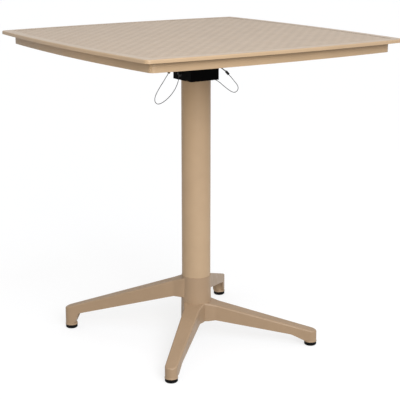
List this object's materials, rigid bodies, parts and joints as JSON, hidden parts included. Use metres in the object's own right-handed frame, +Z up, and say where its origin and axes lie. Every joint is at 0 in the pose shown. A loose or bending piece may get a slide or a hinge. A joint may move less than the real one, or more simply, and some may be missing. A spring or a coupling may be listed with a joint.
{
  "type": "folding bistro table",
  "caption": "Square flip-top bistro table with bowed sides, a round column with cable-released lock bolts, and a cast base whose low and high legs nest when folded.",
  "frame": {"origin": "on the floor under the middle of the top, on the column's axis", "axes": "+Z up; +X along the sides of the top parallel to the tilt pin; -Y towards the low legs"},
  "size_m": [0.7, 0.7, 0.74],
  "materials": {
    "top_plastic": "sand-coloured moulded top",
    "black_casting": "black coated casting",
    "black_plastic": "matte black",
    "pad_plastic": "matte black foot pad",
    "zinc_steel": "zinc-plated steel",
    "dark_steel": "black-oxide steel",
    "cable_steel": "stranded steel wire",
    "beige_steel": "sand powder coat",
    "beige_casting": "sand powder-coated casting"
  },
  "bodies": {
    "base": {"column_head": "black_casting", "pivot_pin": "dark_steel", "pin_ring": "dark_steel", "column_tube": "beige_steel", "tie_rod": "zinc_steel", "tie_washers": "zinc_steel", "tie_nuts": "zinc_steel", "base_casting": "beige_casting", "foot_inserts": "zinc_steel", "bolt_guide_left": "black_plastic", "bolt_spring_left": "zinc_steel", "release_cable_left": "cable_steel", "cable_ferrule_left": "black_plastic", "cable_eye_left": "cable_steel", "cable_lug_left": "dark_steel", "bolt_guide_right": "black_plastic", "bolt_spring_right": "zinc_steel", "release_cable_right": "cable_steel", "cable_ferrule_right": "black_plastic", "cable_eye_right": "cable_steel", "cable_lug_right": "dark_steel"},
    "top": {"table_top": "top_plastic", "tilt_plate": "black_casting", "plate_screws": "zinc_steel"},
    "bolt_left": {"lock_bolt_left": "dark_steel", "cable_anchor_left": "black_plastic"},
    "bolt_right": {"lock_bolt_right": "dark_steel", "cable_anchor_right": "black_plastic"},
    "foot_front_left": {"foot_pad_front_left": "pad_plastic", "foot_stud_front_left": "zinc_steel"},
    "foot_front_right": {"foot_pad_front_right": "pad_plastic", "foot_stud_front_right": "zinc_steel"},
    "foot_rear_right": {"foot_pad_rear_right": "pad_plastic", "foot_stud_rear_right": "zinc_steel"},
    "foot_rear_left": {"foot_pad_rear_left": "pad_plastic", "foot_stud_rear_left": "zinc_steel"}
  },
  "joints": [
    {"name": "top_tilt", "type": "hinge", "parent": "base", "child": "top", "pos_m": [0, 0.008, 0.682], "axis": [-1, 0, 0], "range_deg": [0, 90]},
    {"name": "left_bolt_pull", "type": "slide", "parent": "base", "child": "bolt_left", "axis": [-1, 0, 0], "range_m": [0, 0.004], "stiffness_N_per_m": 600, "springref_m": -0.006, "deforming": ["bolt_spring_left"]},
    {"name": "right_bolt_pull", "type": "slide", "parent": "base", "child": "bolt_right", "axis": [1, 0, 0], "range_m": [0, 0.004], "stiffness_N_per_m": 600, "springref_m": -0.006, "deforming": ["bolt_spring_right"]},
    {"name": "front_left_foot_screw", "type": "slide", "parent": "base", "child": "foot_front_left", "axis": [0, 0, -1], "range_m": [0, 0.012]},
    {"name": "front_right_foot_screw", "type": "slide", "parent": "base", "child": "foot_front_right", "axis": [0, 0, -1], "range_m": [0, 0.012]},
    {"name": "rear_right_foot_screw", "type": "slide", "parent": "base", "child": "foot_rear_right", "axis": [0, 0, -1], "range_m": [0, 0.012]},
    {"name": "rear_left_foot_screw", "type": "slide", "parent": "base", "child": "foot_rear_left", "axis": [0, 0, -1], "range_m": [0, 0.012]}
  ]
}
